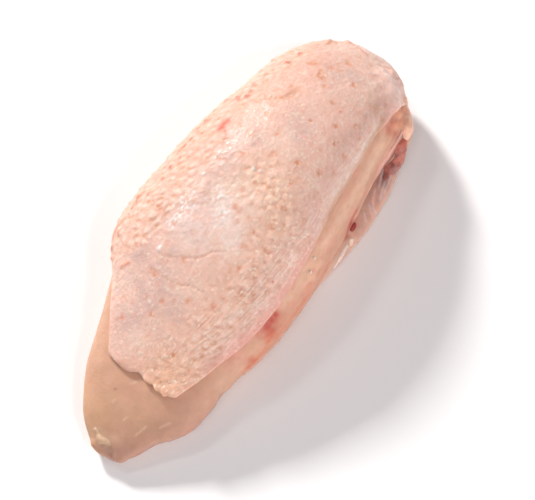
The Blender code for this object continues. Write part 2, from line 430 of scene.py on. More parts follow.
def make_mesh(name, points, faces):
    mesh = bpy.data.meshes.new(name)
    mesh.from_pydata([tuple(p) for p in points], [], faces)
    mesh.validate()
    mesh.shade_smooth()
    return add_object(name, mesh)


def finish_mesh(name, bm):
    """An object that shows what was built with bmesh."""
    mesh = bpy.data.meshes.new(name)
    bm.to_mesh(mesh)
    bm.free()
    mesh.shade_smooth()
    return add_object(name, mesh)


def sphere_mesh(name, segments, rings, surface):
    """A sphere with its poles on Y, each vertex moved to its direction's point of a surface."""
    bm = bmesh.new()
    bmesh.ops.create_uvsphere(
        bm, u_segments=segments, v_segments=rings, radius=1.0,
        matrix=Matrix.Rotation(radians(-90), 4, "X"),
    )
    directions = unit(np.array([vert.co[:] for vert in bm.verts]))
    for vert, point in zip(bm.verts, surface(directions)):
        vert.co = point
    return finish_mesh(name, bm)


def even_out(thing, voxel, softening):
    """Remeshes an object to even faces, softens it, and applies all its modifiers."""
    even = thing.modifiers.new("even", "REMESH")
    even.mode = "VOXEL"
    even.voxel_size = voxel
    soft = thing.modifiers.new("soft", "SMOOTH")
    soft.factor = 0.5
    soft.iterations = softening
    graph = bpy.context.evaluated_depsgraph_get()
    made = bpy.data.meshes.new_from_object(thing.evaluated_get(graph))
    thing.modifiers.clear()
    thing.data = made
    made.shade_smooth()


def read_vectors(items, field):
    found = np.empty(len(items) * 3, np.float32)
    items.foreach_get(field, found)
    return found.reshape(-1, 3).astype(float)


def read_points(mesh):
    return read_vectors(mesh.vertices, "co")


def add_layer(mesh, name, kind, field, values):
    layer = mesh.attributes.new(name, kind, "POINT")
    layer.data.foreach_set(field, values.astype(np.float32).ravel())


def quads(index):
    """Faces of a grid of vertex indices."""
    corners = index[:-1, :-1], index[:-1, 1:], index[1:, 1:], index[1:, :-1]
    return np.stack([corner.ravel() for corner in corners], axis=-1)


def tree_of(points):
    tree = KDTree(len(points))
    for i, point in enumerate(points):
        tree.insert(point, i)
    tree.balance()
    return tree


# ---------------- materials

# How far the painted colours are darkened to show as meant under the lamps
PAINT_SHADE = 0.96

# Least and most dryness, how far red, green and blue light spread in tissue, and what tissue
# shares: how light bends in it, the share of the finer grain and the roughness of its coat
DRYNESS_RANGE = (0.2, 1.6)
SCATTER_SPREAD = (1.0, 0.42, 0.28)
TISSUE_IOR = 1.4
FINER_GRAIN = 0.35
COAT_ROUGHNESS = 0.12


def add_node(tree, kind, inputs=None, **settings):
    """A shader node with its settings made, and its inputs set or linked."""
    node = tree.nodes.new("ShaderNode" + kind)
    for key, value in settings.items():
        setattr(node, key, value)
    for key, value in (inputs or {}).items():
        if isinstance(value, bpy.types.NodeSocket):
            tree.links.new(value, node.inputs[key])
        else:
            node.inputs[key].default_value = value
    return node


def start_material(name):
    material = bpy.data.materials.new(name)
    material.use_nodes = True
    material.node_tree.nodes.clear()
    return material, material.node_tree


def finish_material(tree, shader):
    output = add_node(tree, "OutputMaterial")
    tree.links.new(shader.outputs["BSDF"], output.inputs["Surface"])


def add_noise(tree, scale, detail):
    place = add_node(tree, "TexCoord").outputs["Object"]
    return add_node(tree, "TexNoise", {"Vector": place, "Scale": scale, "Detail": detail}).outputs["Fac"]


def add_range(tree, value, spread, low, high):
    """Maps a noise's values around its middle to a range."""
    return add_node(tree, "MapRange", {
        "Value": value, "From Min": 0.5 - spread, "From Max": 0.5 + spread, "To Min": low, "To Max": high,
    }).outputs["Result"]


def tissue_material(name, mottle, grain, roughness, scatter, bump, coat=0.0):
    """Wet tissue: painted colour with fine mottling, uneven gloss, grain and scattering.

    Mottle is its scale and strength, grain two scales, roughness a range, scatter its weight
    and reach in metres, and bump the grain's height in metres.
    """
    material, tree = start_material(name)
    tint = add_node(tree, "Attribute", attribute_name="tint").outputs["Color"]
    dryness = add_node(tree, "Attribute", attribute_name="dryness").outputs["Fac"]
    shade = add_range(tree, add_noise(tree, mottle[0], 4.0), 0.2, 1 - mottle[1], 1 + mottle[1])
    colour = add_node(tree, "VectorMath", {0: tint, 1: shade}, operation="MULTIPLY")
    gloss = add_range(tree, add_noise(tree, grain[0] * 0.4, 3.0), 0.15, *roughness)
    rough = add_node(tree, "Math", {0: gloss, 1: dryness}, operation="MULTIPLY")
    fine = add_noise(tree, grain[0], 3.0)
    finer = add_noise(tree, grain[1], 2.0)
    relief = add_node(tree, "Math", {0: finer, 1: FINER_GRAIN, 2: fine}, operation="MULTIPLY_ADD")
    bumps = add_node(tree, "Bump", {
        "Height": relief.outputs["Value"], "Strength": dryness, "Distance": bump,
    })
    finish_material(tree, add_node(tree, "BsdfPrincipled", {
        "Base Color": colour.outputs["Vector"], "Roughness": rough.outputs["Value"],
        "Normal": bumps.outputs["Normal"], "IOR": TISSUE_IOR,
        "Subsurface Weight": scatter[0], "Subsurface Radius": SCATTER_SPREAD,
        "Subsurface Scale": scatter[1], "Coat Weight": coat, "Coat Roughness": COAT_ROUGHNESS,
    }))
    return material


def dress(thing, material, colours, dryness, node):
    """Paints a piece, gives it its material and ties it to the frame."""
    tint = np.ones((len(colours), 4))
    tint[:, :3] = colours * PAINT_SHADE
    add_layer(thing.data, "tint", "FLOAT_COLOR", "color", tint)
    add_layer(thing.data, "dryness", "FLOAT", "value", np.clip(dryness, *DRYNESS_RANGE))
    thing.data.materials.clear()
    thing.data.materials.append(material)
    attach(thing, "root")
    if node:
        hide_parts(node)


# ---------------- layers

# How uneven the borders of patches are, and at what wavelength, and the same for strands
PATCH_RAGGED = (0.4, 2.6)
STRAND_RAGGED = (0.35, 2.5)


class Look:
    """Relief, colour and dryness of a surface, built up layer by layer, in millimetres."""

    def __init__(self, points, ground, base):
        self.p = points / MM
        self.ground = ground
        self.relief = np.zeros(len(points))
        self.colours = np.tile(base, (len(points), 1))
        self.dry = np.ones(len(points))

    def noise(self, wavelength, seed):
        return noise(self.p, wavelength, seed)

    def clouds(self, wavelength, seed, low, high):
        """Clouds of 0 to 1, where rough noise rises from low to high."""
        return ramp(rough_noise(self.p, wavelength, seed), low, high)

    def tint(self, colour, share):
        self.colours = mix(self.colours, colour, share)

    def to_path(self, pixels):
        return near_path(self.p, self.ground.path(pixels))

    def near(self, places):
        """How near each point is to places (x, y, radius), from 0 to 1 at their middles."""
        best = np.zeros(len(self.p))
        ragged = 1 + PATCH_RAGGED[0] * self.noise(PATCH_RAGGED[1], 91)
        for x, y, radius in places:
            away = np.linalg.norm(self.p - self.ground.at(x, y), axis=1) * ragged
            best = np.maximum(best, bell(away, radius))
        return best

    def patch(self, places, colour, share, height=0.0):
        near = self.near(places)
        self.relief += height * near
        self.tint(colour, share * near)

    def strands(self, paths, width, height, colour, share):
        """Threads or stripes along paths of pixels, wavering a little in width."""
        ragged = 1 + STRAND_RAGGED[0] * self.noise(STRAND_RAGGED[1], 90)
        for pixels in paths:
            line = bell(self.to_path(pixels) * ragged, width)
            self.relief += height * line
            self.tint(colour, share * line)


# Colours of the skin, as they show on the screen
SKIN_BASE = srgb(238, 195, 179)
SKIN_THIN_AND_SHADE = srgb(212, 180, 172)
SKIN_FAT = srgb(250, 222, 205)
SKIN_SHEEN_PAINT = srgb(252, 234, 230)
# Painted shade for the skin's lamp-facing and steep sides
SKIN_SHADE_PAINT = srgb(226, 168, 148)
SKIN_PIT = srgb(220, 146, 106)
SKIN_TAN = srgb(216, 160, 132)
SPOT_TAN = srgb(224, 148, 112)
WHITE_FAT_AND_GLINT = srgb(255, 238, 222)
PALE_LIT_PINK = srgb(255, 218, 206)
SKIN_ROSE = srgb(232, 158, 146)
WRINKLE_GLINT = srgb(255, 224, 212)
GLINT_WHITE = srgb(255, 251, 248)
ORANGE = srgb(226, 134, 98)
NUB_RED = srgb(214, 104, 74)
LOBE_PINK = srgb(246, 194, 162)
BAND_CREAM = srgb(252, 208, 178)
BLOOD = srgb(206, 74, 58)
SCRATCH_RED = srgb(222, 104, 82)

# Colours of the meat and of what lies on it
MEAT_BASE = srgb(216, 168, 142)
MEAT_TIP = srgb(208, 164, 130)
MEAT_MAUVE = srgb(192, 148, 132)
MEAT_CREAM = srgb(240, 200, 172)
MEAT_TAN = srgb(218, 156, 128)
MEAT_PINK = srgb(228, 156, 138)
MEAT_RED = srgb(206, 132, 112)
MEAT_ROSE = srgb(232, 162, 136)
EDGE_PINK_LIT = srgb(246, 188, 172)
ORANGE_RED = srgb(214, 112, 82)
SALMON = srgb(250, 178, 146)
FAT_YELLOW = srgb(218, 182, 152)
MEMBRANE = srgb(240, 214, 208)
BRUISE = srgb(196, 78, 62)
CLOT = srgb(144, 40, 42)
INNER_BASE = srgb(226, 180, 160)
INNER_DARK = srgb(142, 88, 84)
INNER_GREY = srgb(168, 140, 138)
IVORY = srgb(250, 226, 206)
BUFF = srgb(240, 196, 170)
APRICOT = srgb(255, 196, 168)
PEACH = srgb(255, 212, 188)
ROAN = srgb(200, 122, 106)
UMBER = srgb(154, 90, 82)
RUST = srgb(212, 112, 90)
BLUSH = srgb(238, 186, 170)
TIP_BROWN = srgb(196, 154, 124)


# ---------------- skin

# Lines on the skin, as pixels of the photograph: the middle of the rough band that runs down
# it, where the bumps of the outer side end, and the side that faces the key lamp, which gets painted shade
ROUGH_BAND = ((262, 180), (282, 225), (262, 268), (232, 310), (205, 345), (176, 372))
BUMPY_BORDER = (
    (300, 60), (276, 84), (254, 108), (238, 132), (222, 156), (206, 172), (192, 188), (182, 206),
    (166, 224), (150, 240), (134, 252), (117, 262),
)
KEY_SIDE_SHADE = ((172, 168), (200, 138), (235, 108), (270, 77), (310, 52))

# Spacing in millimetres of the bumps on the outer side and of the spots elsewhere
BUMP_ACROSS = 4.6
BUMP_ALONG = 3.6
SPOT_ACROSS = 5.2
SPOT_ALONG = 4.4

# Places on the skin, as pixels of the photograph, most with a radius in millimetres
THIN_AND_SHADED_PLACES = (
    (345, 78, 8), (300, 125, 6), (255, 148, 7), (232, 165, 5), (203, 187, 7), (178, 238, 6), (138, 250, 6),
    (150, 290, 9), (172, 322, 8), (130, 312, 7), (322, 228, 4), (145, 262, 6), (128, 280, 6), (190, 205, 4),
    (215, 180, 5), (228, 150, 6), (238, 130, 5),
)
SHEEN_PLACES = ((225, 215, 9), (250, 200, 8), (196, 228, 8), (236, 238, 7))
LATE_TAN = ((377, 109, 2.2), (379, 107, 1.8))
LIT_BULGE_PLACES = ((394, 91, 6.5), (389, 80, 4.5), (397, 103, 4))
TAN_PLACES = (
    (379, 109, 2.4), (345, 157, 1.5), (315, 62, 1.5), (323, 76, 1.6), (296, 163, 1.6), (290, 92, 2.0),
    (120, 365, 3.0), (212, 352, 3.0),
)
BLOOD_PLACES = ((273, 282, 0.5), (341, 111, 0.4), (222, 127, 0.5))
WET_PLACES = ((184, 204, 2.6), (179, 215, 1.8), (172, 222, 1.3), (219, 196, 1.6), (224, 213, 2.0))
DROPS = ((159, 248, 0.8), (203, 173, 0.6), (173, 178, 0.4), (260, 170, 0.5), (253, 168, 0.5))
NUB_PLACES = (
    (299, 53), (286, 62), (265, 74), (253, 84), (237, 97), (226, 100), (238, 98), (250, 91), (215, 110),
    (205, 121), (198, 128), (191, 138), (170, 166), (162, 178), (148, 193), (137, 196), (128, 212),
    (118, 232), (112, 247), (111, 258), (272, 60), (246, 96),
)
MARKED_SPOTS = (
    (320, 74), (325, 85), (354, 84), (348, 62), (333, 102), (267, 113), (240, 124), (251, 133), (277, 133),
    (242, 153), (274, 153), (299, 163), (320, 173), (345, 156), (334, 142), (264, 182), (291, 182),
    (282, 207), (260, 169), (337, 126), (357, 126), (371, 131), (311, 120), (225, 138), (220, 158),
    (235, 207), (253, 232), (273, 228), (266, 250), (244, 246), (255, 268), (239, 268), (267, 292),
    (243, 291), (154, 274), (183, 260), (161, 301), (189, 301), (214, 306), (151, 314), (121, 317),
    (173, 355), (200, 357),
)
LOBE_PLACES = (
    (149, 378, 1.6), (157, 386, 1.2), (164, 391, 1.5), (175, 391, 2.3), (179, 372, 1.8), (188, 382, 1.6),
    (197, 373, 1.8), (166, 377, 1.8), (157, 374, 1.3),
)
EDGE_PITS = ((155, 369), (147, 369), (171, 358), (189, 371), (175, 352), (202, 356), (160, 383), (214, 343))
PEAKS = ((330, 41, 1.0), (348, 42, 1.3), (394, 72, 2.4), (401, 84, 2.6))
SKIN_DENTS = (
    (384, 61, 4.0), (405, 96, 3.0), (110, 281, 4.5), (130, 208, 5.0), (262, 71, 3.0), (150, 182, 3.0),
    (230, 180, 9.0),
)

# Paths on the skin
ORANGE_RIDGES = (
    ((345, 41), (352, 43), (360, 48), (367, 53)), ((385, 64), (393, 70), (400, 77), (404, 86)),
    ((326, 43), (330, 40), (336, 42)), ((404, 96), (406, 103)), ((143, 190), (137, 197), (131, 205)),
    ((124, 216), (116, 228), (112, 238)), ((128, 262), (120, 266)), ((185, 143), (176, 153)),
)
TAN_SMEARS = (
    ((309, 62), (318, 63)), ((321, 69), (320, 75), (325, 79)), ((347, 59), (351, 64)),
    ((272, 96), (283, 96)), ((330, 66), (333, 67)),
)
CREASES = (
    ((158, 253), (162, 255), (170, 257), (183, 257), (195, 258), (203, 256), (213, 251), (227, 251)),
    ((150, 268), (157, 274), (170, 281), (180, 285), (190, 285), (197, 289), (203, 292)),
)
FOLD = ((254, 98), (264, 97), (274, 97), (284, 96), (292, 93), (297, 89))
SCRATCH = ((227, 119), (223, 124), (219, 128))
SCRATCH_TAIL = ((223, 127), (225, 131), (226, 136))

# Millimetres: depth and width of the creases and of the fold, how far the tail's lobes are
# drawn out, the width of the rounded rim, how much slimmer the skin is than the solid's, the
# film that is left where its edge merges into the flank, and how far in from the edge it thins
CREASE_DEPTH = 0.20
CREASE_WIDTH = 0.40
FOLD_DEPTH = 0.34
FOLD_WIDTH = 1.5
SCALLOP = 1.7
RIM = 1.5
SLIMMER = 0.45
FILM = 0.35
MERGE_WIDTH = 22

# Where along the skin, from 0 at the tail to 1, the merging of its keel edge sets in and ends
MERGE_START = (0.46, 0.6)
MERGE_END = (0.8, 0.87)


class SkinGrid:
    """The skin's sheet: its faces on the meat, and millimetres to its borders."""

    def __init__(self):
        rows = np.linspace(0, 1, SKIN_ALONG + 1)
        columns = np.linspace(0, 1, SKIN_ACROSS + 1)
        v, u = np.meshgrid(rows, columns, indexing="ij")
        self.index = np.arange(v.size).reshape(v.shape)
        self.u = u.ravel()
        self.v = v.ravel()
        directions = unwrap(skin_plane(self.u, self.v))
        self.meat = fillet_point(directions)
        self.normal = surface_normal(directions, plain_fillet_point)
        self.inner = self.meat + self.normal * skin_inner_height(self.meat)[:, None]
        self.outer = self.inner + self.normal * SKIN_THICKNESS
        self.sheet = self.outer.reshape(*v.shape, 3) / MM
        across = np.linalg.norm(np.diff(self.sheet, axis=1), axis=2)
        forward = np.linalg.norm(np.diff(self.sheet, axis=0), axis=2)
        from_outer = np.pad(np.cumsum(across, axis=1), ((0, 0), (1, 0)))
        from_tail = np.pad(np.cumsum(forward, axis=0), ((1, 0), (0, 0)))
        to_keel = from_outer[:, -1:] - from_outer
        to_shoulder = from_tail[-1:, :] - from_tail
        self.to_keel = to_keel.ravel()
        self.to_tail = from_tail.ravel()
        self.to_edge = np.min([from_outer, to_keel, from_tail, to_shoulder], axis=0).ravel()
        self.merging = ramp(self.v, *MERGE_START) * (1 - ramp(self.v, *MERGE_END))

    def drawn_out(self, lobes):
        """How far the tail edge is drawn out by its lobes, and frayed between them."""
        fray = 0.4 * noise(self.inner / MM, 3.5, 69)
        length = SCALLOP * (lobes + fray) * np.exp(-self.to_tail / 3)
        return length[:, None] * unit(-np.gradient(self.sheet, axis=0).reshape(-1, 3))

    def dressed(self, look):
        """Outer and inner face with relief, the meat's relief, rim, merging edge and fray."""
        rim = np.sqrt(1 - (1 - np.clip(self.to_edge / RIM, 0, 1)) ** 2)
        lip = (SKIN_THICKNESS / MM - SLIMMER) * (0.3 + 0.7 * rim)
        lip += look.relief * ramp(self.to_edge, 0, RIM / 2)
        gap = np.sum((self.inner - self.meat) * self.normal, axis=1) / MM
        away = np.clip(self.to_keel / MERGE_WIDTH, 0, 1)
        cover = 1 - self.merging * (1 - away) ** 1.4
        film = FILM * (ramp(self.to_keel, 0, 2.5) - 0.45)
        total = (gap + lip) * cover + look.under + film * self.merging * (1 - away)
        below = np.minimum(gap, total - FILM)
        slide = self.drawn_out(look.lobes)
        outer = self.meat + (self.normal * total[:, None] + slide) * MM
        inner = self.meat + (self.normal * below[:, None] + slide) * MM
        return outer, inner


def skin_inner_height(points):
    """Height of the skin's inner face over the meat, as the solid's without its tail pleats."""
    swell = np.sin(2 * pi * points[:, 0] / SWELL_ACROSS)
    swell *= np.cos(2 * pi * points[:, 1] / SWELL_ALONG)
    return SKIN_GAP + SWELL_HEIGHT * (1 + swell)


def loop_of(index):
    """The border of a grid of indices, once round, against the clock seen from outside."""
    sides = index[0, :-1], index[:-1, -1], index[-1, :0:-1], index[:0:-1, 0]
    return np.concatenate(sides)


def shell_faces(fine):
    """Faces of the closed skin: fine outer face, coarser inner face, and the rim between."""
    step = INNER_FACE_STEP
    coarse_at = fine[::step, ::step]
    coarse = np.arange(coarse_at.size).reshape(coarse_at.shape) + fine.size
    faces = quads(fine).tolist() + quads(coarse)[:, (0, 3, 2, 1)].tolist()
    outer_loop = loop_of(fine).tolist()
    inner_loop = loop_of(coarse).tolist()
    outer_loop.append(outer_loop[0])
    inner_loop.append(inner_loop[0])
    for m, (low, after) in enumerate(zip(inner_loop[:-1], inner_loop[1:])):
        run = outer_loop[m * step:(m + 1) * step + 1]
        for i in range(step):
            faces.append((run[i], low if i < step // 2 else after, run[i + 1]))
        faces.append((run[step // 2], low, after))
    return faces, coarse_at.ravel()


def lattice(grid, across, forward, jitter, seed):
    """Vertices of the skin on a jittered grid of staggered rows along its keel edge."""
    draw = np.random.default_rng(seed)
    tree = tree_of([(*place, 0.0) for place in zip(grid.to_keel, grid.to_tail)])
    chosen = set()
    for row, t in enumerate(np.arange(0, grid.to_tail.max(), forward)):
        for s in np.arange(row % 2 * across / 2, grid.to_keel.max(), across):
            shift = draw.normal(size=2) * jitter
            _, index, away = tree.find((s + shift[0], t + shift[1], 0.0))
            if away < forward:
                chosen.add(index)
    return np.array(sorted(chosen))


def nearest_two(points, places):
    """For each point, which of the places is nearest, and how far the nearest two are."""
    tree = tree_of(places)
    found = [tree.find_n(point, 2) for point in points]
    which = np.array([first[1] for first, _ in found])
    distances = np.array([(first[2], second[2]) for first, second in found])
    return which, distances[:, 0], distances[:, 1]


class SkinLook(Look):
    """The skin's outer face, and what several of its layers need."""

    def __init__(self, grid, ground):
        super().__init__(grid.outer, ground, SKIN_BASE)
        self.grid = grid
        self.under = np.zeros(len(self.p))
        self.lobes = np.zeros(len(self.p))
        self.band = bell(self.to_path(ROUGH_BAND), 10)
        border = [np.argmin(np.linalg.norm(self.p - p, axis=1)) for p in ground.path(BUMPY_BORDER)]
        knots = np.sort(np.stack([grid.v[border], grid.u[border]], axis=-1), axis=0)
        knots = np.concatenate([[[knots[0, 0] - 0.06, -0.1]], knots])
        limit = np.interp(grid.v, *knots.T) + 0.03 * self.noise(9, 3)
        self.bumpy = ramp(limit - grid.u, -0.02, 0.05)


def add_patches(look):
    look.relief += 0.22 * look.noise(13, 20) + 0.13 * look.noise(5, 21)
    look.relief += 0.10 * rough_noise(look.p, 2.4, 22)
    # Grey-lavender patches: where the skin is thin over the meat, and in some places painted shade that
    # dims lamp-lit skin
    thin = look.near(THIN_AND_SHADED_PLACES) * look.clouds(8, 8, -0.6, 0.4) * (1 - 0.8 * look.bumpy)
    look.tint(SKIN_FAT, 0.4 * look.clouds(11, 60, -0.2, 0.7))
    # Painted sheen: milky pale patches in the middle where a broad highlight lies
    look.tint(SKIN_SHEEN_PAINT, 0.45 * look.near(SHEEN_PLACES))
    look.tint(SKIN_THIN_AND_SHADE, 0.85 * thin)
    # Painted shade: the side that faces the key lamp is darkened
    look.tint(SKIN_SHADE_PAINT, 0.55 * bell(look.to_path(KEY_SIDE_SHADE), 13))
    look.relief += 1.4 * look.near(LIT_BULGE_PLACES)
    look.patch(TAN_PLACES, SKIN_TAN, 0.55)
    look.tint(SKIN_FAT, 0.25 * look.clouds(1.6, 62, 0.05, 0.6))
    look.tint(SKIN_TAN, 0.15 * look.clouds(2.4, 64, 0.1, 0.7))
    # Painted shade: steep parts of the skin, their normals turned from the sky, are darkened
    look.tint(SKIN_SHADE_PAINT, 0.4 * (1 - ramp(look.grid.normal[:, 2], -0.2, 0.25)))


def add_bumps(look):
    """Packed goose bumps on the outer side, with creases and pits between them."""
    grid = look.grid
    places = lattice(grid, BUMP_ACROSS, BUMP_ALONG, 0.85, 31)
    which, first, second = nearest_two(look.p, look.p[places])
    border = (second - first) / (second + first + TINY)
    dome = ramp(border + 0.3 * look.noise(2.0, 35), -0.2, 0.9)
    draw = np.random.default_rng(34)
    size = (0.3 + 0.7 * draw.random(len(places)))[which]
    drift = draw.normal(size=(len(places), 2))[which] * 0.55
    depth = draw.random(len(places))[which] ** 2
    centre = places[which]
    ds = grid.to_keel - grid.to_keel[centre] - drift[:, 0]
    dt = grid.to_tail - grid.to_tail[centre] - drift[:, 1] + 1.3
    pit = bell(np.hypot(ds * 0.7, dt) * (1 + 0.4 * look.noise(1.3, 36)), 0.75)
    steep = 0.6 + 0.4 * ramp(grid.normal[:, 2], -0.1, 0.4)
    force = look.bumpy * (0.85 + 0.3 * look.noise(12, 39)) * steep
    force = np.maximum(force, (0.85 - 0.35 * ramp(grid.v, 0.40, 0.60)) * look.band)
    look.relief += force * (0.66 * dome * size - 0.28 * pit)
    look.tint(SKIN_TAN, 0.5 * force * (1 - dome))
    look.tint(SKIN_FAT, 0.42 * force * dome)
    look.tint(BAND_CREAM, 0.45 * look.band)
    look.tint(SKIN_PIT, force**1.5 * pit * (0.7 + 0.3 * depth))
    look.dry += 0.4 * look.bumpy


def add_spots(look):
    """Scattered follicles over the rest: a shallow tan dish with a pale nub in it."""
    marked = [look.ground.at(x, y) for x, y in MARKED_SPOTS]
    spots = lattice(look.grid, SPOT_ACROSS, SPOT_ALONG, 1.0, 41)
    places = np.concatenate([marked, look.p[spots]])
    draw = np.random.default_rng(42)
    strength = np.concatenate([
        1.0 + 0.3 * draw.random(len(marked)), 0.7 * draw.random(len(spots)) ** 2])
    nearest, ring, _ = nearest_two(look.p, places)
    slant = draw.normal(size=(len(places), 3)) * 0.30
    away = np.linalg.norm(look.p - (places + slant)[nearest], axis=1)
    force = strength[nearest] * (1 - 0.8 * look.bumpy)
    dish = force * bell(ring * (1 + 0.5 * look.noise(1.4, 44)), 1.0)
    lit = ramp(draw.random(len(places)), 0.3, 0.6)[nearest]
    nub = lit * force * bell(away, 0.36)
    look.relief += 0.34 * nub - 0.16 * dish
    look.tint(SPOT_TAN, 0.75 * dish)
    look.tint(WHITE_FAT_AND_GLINT, 0.9 * nub)
    look.dry *= 1 - 0.75 * nub


def add_wrinkles(look):
    """Fine wet wrinkles along the keel edge, and crinkle all over."""
    grid = look.grid
    near = ramp(grid.to_keel, 1.8, 3.5) * (1 - ramp(grid.to_keel, 9, 24))
    near *= ramp(grid.to_tail, 10, 24) * (1 - ramp(grid.v, 0.70, 0.85))
    flat = grid.v * 0
    lines = np.stack([(grid.to_keel + look.noise(9, 50)) / 1.1, grid.to_tail / 9, flat], axis=-1)
    ridges = 1 - 2 * np.abs(noise(lines, 1, 51))
    look.relief += 0.12 * near * ridges
    look.tint(SKIN_ROSE, 0.14 * (1 - ramp(grid.to_keel, 12, 28)))
    # Painted highlight: the wrinkles' crests are painted pale as wet glints
    look.tint(WRINKLE_GLINT, 0.65 * near * ramp(ridges, 0.6, 0.95))
    look.dry *= 1 - 0.7 * near * ramp(ridges, 0.5, 0.9)
    fine = np.stack([grid.to_keel / 0.9, grid.to_tail / 1.7, flat], axis=-1)
    crinkle = (1 - 2 * np.abs(noise(fine, 1, 53))) * (1 - look.bumpy)
    look.relief += 0.07 * crinkle * (1 - 0.6 * ramp(grid.v, 0.6, 0.8))


def add_creases(look):
    # Painted shade: the grooves of the creases and of the fold are tinted tan
    for path in CREASES:
        away = look.to_path(path) + 0.25 * look.noise(3, 55)
        groove = bell(away, CREASE_WIDTH)
        look.relief += CREASE_DEPTH * (0.4 * bell(away, 3 * CREASE_WIDTH) - 1.5 * groove)
        look.tint(SKIN_TAN, 0.45 * groove)
    away = look.to_path(FOLD) * (1 + 0.8 * look.noise(3, 56))
    groove = bell(away, FOLD_WIDTH)
    look.relief += FOLD_DEPTH * (0.6 * bell(away, 2.6 * FOLD_WIDTH) - 1.2 * groove)
    look.tint(SKIN_TAN, 0.6 * groove)


def add_lobes(look):
    """Knobbly lobes where the skin ends in a corner over the tail."""
    to_tail = look.grid.to_tail
    near = bell(to_tail, 11) * bell(look.grid.u - 0.74, 0.30)
    dome = look.near(LOBE_PLACES)
    look.lobes = dome - 0.4 * near
    knobs = rough_noise(look.p, 3.2, 67)
    look.relief *= 1 - 0.5 * near
    look.relief += dome * (0.25 + 0.75 * np.exp(-to_tail / 4)) - 0.3 * near + 0.35 * near * knobs
    look.tint(LOBE_PINK, 0.8 * near)
    look.tint(SKIN_PIT, 0.4 * near * (1 - dome) * ramp(-knobs, 0.0, 0.6))
    look.dry += 0.8 * near
    look.patch([(x, y, 0.7) for x, y in EDGE_PITS], SKIN_PIT, 0.6, -0.25)


def add_nubs(look):
    """Small orange stubs and ridges that stand out along the outline, and its dents."""
    look.patch([(x, y, 0.9) for x, y in NUB_PLACES], NUB_RED, 0.6, 0.8)
    look.strands(ORANGE_RIDGES, 0.7, 0.35, ORANGE, 0.55)
    look.strands(TAN_SMEARS, 0.8, -0.15, SKIN_PIT, 0.55)
    look.relief += 0.9 * look.near(PEAKS) - 0.7 * look.near(SKIN_DENTS)


def add_merging_edge(look):
    """The rosy keel edge, the flank's look where the skin runs into it, and the shoulder bulge, pale pink
    partly of its own and partly painted light.
    """
    grid = look.grid
    rose = (1 - ramp(grid.to_keel, 1, 7)) * (1 - ramp(grid.v, 0.40, 0.55))
    look.tint(SKIN_ROSE, 0.5 * rose * ramp(grid.v, 0.04, 0.16))
    flank = Look(grid.meat, look.ground, MEAT_BASE)
    add_grain(flank)
    paint_flank(flank)
    merged = grid.merging * (1 - ramp(grid.to_keel + 1.2 * look.noise(6, 93), 2, 7))
    look.tint(flank.colours, merged)
    look.under = merged * flank.relief
    look.relief *= 1 - merged
    look.patch(LATE_TAN, SKIN_TAN, 0.6)
    high = ramp(grid.v, *MERGE_END) * (1 - ramp(grid.to_keel, 0.5, 3))
    look.tint(SKIN_ROSE, 0.35 * high)
    # The shoulder bulge: its own pale pink, made paler as painted light
    look.patch(LIT_BULGE_PLACES, PALE_LIT_PINK, 0.85)
    return merged


def add_marks(look, merged):
    """Blood spots, the scratch, wet beads and drops with painted white glints, and fine painted glints."""
    look.patch(BLOOD_PLACES, BLOOD, 0.8)
    look.strands((SCRATCH,), 1.3, -0.1, SCRATCH_RED, 0.9)
    look.strands((SCRATCH_TAIL,), 0.5, 0.0, SCRATCH_RED, 0.6)
    beads = look.near(WET_PLACES)
    drops = look.near(DROPS)
    look.relief *= 1 - 0.5 * beads
    look.relief += 0.20 * beads * look.noise(1.4, 58) + 0.6 * drops
    # Painted highlights: white specks on the wet beads and on the drops
    painted_glints = np.maximum(beads**0.5 * ramp(look.noise(1.1, 59), 0.0, 0.20), drops)
    look.tint(GLINT_WHITE, 0.95 * painted_glints)
    look.dry *= 1 - 0.85 * np.maximum(0.7 * beads, painted_glints)
    glints = ramp(look.noise(0.85, 61), 0.34, 0.52)
    glints *= ramp(rough_noise(look.p, 9, 63) + 0.3 * look.band, -0.5, 0.2)
    glints *= (1 - merged) * (1 - 0.7 * look.bumpy)
    # Painted highlights: fine white glints, in the colour of the pale nubs
    look.tint(WHITE_FAT_AND_GLINT, (0.5 + 0.15 * look.band) * glints)
    look.relief += 0.10 * glints
    look.dry *= 1 - 0.75 * glints


def keep_in_box(points):
    """Holds a piece within the solids' box."""
    return np.clip(points, np.array(cad_low) + BOX_MARGIN, np.array(cad_high) - BOX_MARGIN)


def make_skin():
    grid = SkinGrid()
    look = SkinLook(grid, Ground(grid.outer, quads(grid.index).tolist()))
    for add in (add_patches, add_bumps, add_spots, add_wrinkles, add_creases, add_lobes, add_nubs):
        add(look)
    add_marks(look, add_merging_edge(look))
    outer, inner = grid.dressed(look)
    faces, inner_at = shell_faces(grid.index)
    skin = make_mesh("breast_skin", keep_in_box(np.concatenate([outer, inner[inner_at]])), faces)
    colours = np.concatenate([look.colours, look.colours[inner_at]])
    dryness = np.concatenate([look.dry, look.dry[inner_at]])
    material = tissue_material(
        "skin", (700, 0.05), (700, 2400), (0.30, 0.46), (0.35, 0.0020), 0.00026)
    dress(skin, material, colours, dryness, "skin")


# ---------------- meat

# Width of the remeshed faces in metres, and how far the tip is off the floor in millimetres
MEAT_VOXEL = 0.62 * MM
TIP_LIFT = 2.2

